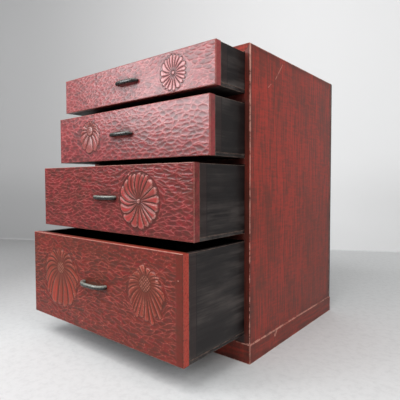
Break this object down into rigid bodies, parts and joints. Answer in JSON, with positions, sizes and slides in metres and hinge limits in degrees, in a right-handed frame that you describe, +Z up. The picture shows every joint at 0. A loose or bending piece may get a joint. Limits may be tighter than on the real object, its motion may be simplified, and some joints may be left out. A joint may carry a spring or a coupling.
{
  "type": "drawer cabinet",
  "caption": "Small lacquered drawer cabinet: carved drawers with fixed iron bow pulls slide on runners in a boarded case that stands on a plinth.",
  "frame": {"origin": "on the floor, under the middle of the front plinth rail", "axes": "+Z up, -Y out of the front, the way the drawers open, +X to the right of someone facing the front"},
  "size_m": [0.358, 0.4468, 0.45],
  "materials": {
    "carved_lacquer": "red over black lacquer, gouge-carved, satin, worn at the edges",
    "red_lacquer": "red-brown lacquer with vertical brush marks, satin, worn at the edges",
    "dark_lacquer": "dark brown lacquer, satin",
    "black_lacquer": "thin black lacquer, rubbed grey along the grain",
    "bare_wood": "planed, unfinished",
    "iron": "forged, grey-green, rubbed"
  },
  "bodies": {
    "case": {"side_left": "red_lacquer", "side_right": "red_lacquer", "top_board": "red_lacquer", "bottom_board": "dark_lacquer", "back_board": "dark_lacquer", "rail_1": "red_lacquer", "rail_2": "red_lacquer", "rail_3": "red_lacquer", "runner_1_left": "bare_wood", "runner_1_right": "bare_wood", "runner_2_left": "bare_wood", "runner_2_right": "bare_wood", "runner_3_left": "bare_wood", "runner_3_right": "bare_wood", "plinth_front": "red_lacquer", "plinth_back": "red_lacquer", "plinth_left": "red_lacquer", "plinth_right": "red_lacquer", "plinth_block_front_left": "bare_wood", "plinth_block_front_right": "bare_wood", "plinth_block_back_left": "bare_wood", "plinth_block_back_right": "bare_wood"},
    "drawer_1": {"drawer_1_front": "carved_lacquer", "drawer_1_side_left": "black_lacquer", "drawer_1_side_right": "black_lacquer", "drawer_1_back": "black_lacquer", "drawer_1_bottom": "black_lacquer", "drawer_1_pull": "iron", "drawer_1_rove_left": "iron", "drawer_1_rove_right": "iron"},
    "drawer_2": {"drawer_2_front": "carved_lacquer", "drawer_2_side_left": "black_lacquer", "drawer_2_side_right": "black_lacquer", "drawer_2_back": "black_lacquer", "drawer_2_bottom": "black_lacquer", "drawer_2_pull": "iron", "drawer_2_rove_left": "iron", "drawer_2_rove_right": "iron"},
    "drawer_3": {"drawer_3_front": "carved_lacquer", "drawer_3_side_left": "black_lacquer", "drawer_3_side_right": "black_lacquer", "drawer_3_back": "black_lacquer", "drawer_3_bottom": "black_lacquer", "drawer_3_pull": "iron", "drawer_3_rove_left": "iron", "drawer_3_rove_right": "iron"},
    "drawer_4": {"drawer_4_front": "carved_lacquer", "drawer_4_side_left": "black_lacquer", "drawer_4_side_right": "black_lacquer", "drawer_4_back": "black_lacquer", "drawer_4_bottom": "black_lacquer", "drawer_4_pull": "iron", "drawer_4_rove_left": "iron", "drawer_4_rove_right": "iron"}
  },
  "joints": [
    {"name": "drawer_1_slide", "type": "slide", "parent": "case", "child": "drawer_1", "axis": [0, -1, 0], "range_m": [-0.067, 0.163]},
    {"name": "drawer_2_slide", "type": "slide", "parent": "case", "child": "drawer_2", "axis": [0, -1, 0], "range_m": [-0.0793, 0.1507]},
    {"name": "drawer_3_slide", "type": "slide", "parent": "case", "child": "drawer_3", "axis": [0, -1, 0], "range_m": [-0.1106, 0.1194]},
    {"name": "drawer_4_slide", "type": "slide", "parent": "case", "child": "drawer_4", "axis": [0, -1, 0], "range_m": [-0.1311, 0.0989]}
  ]
}
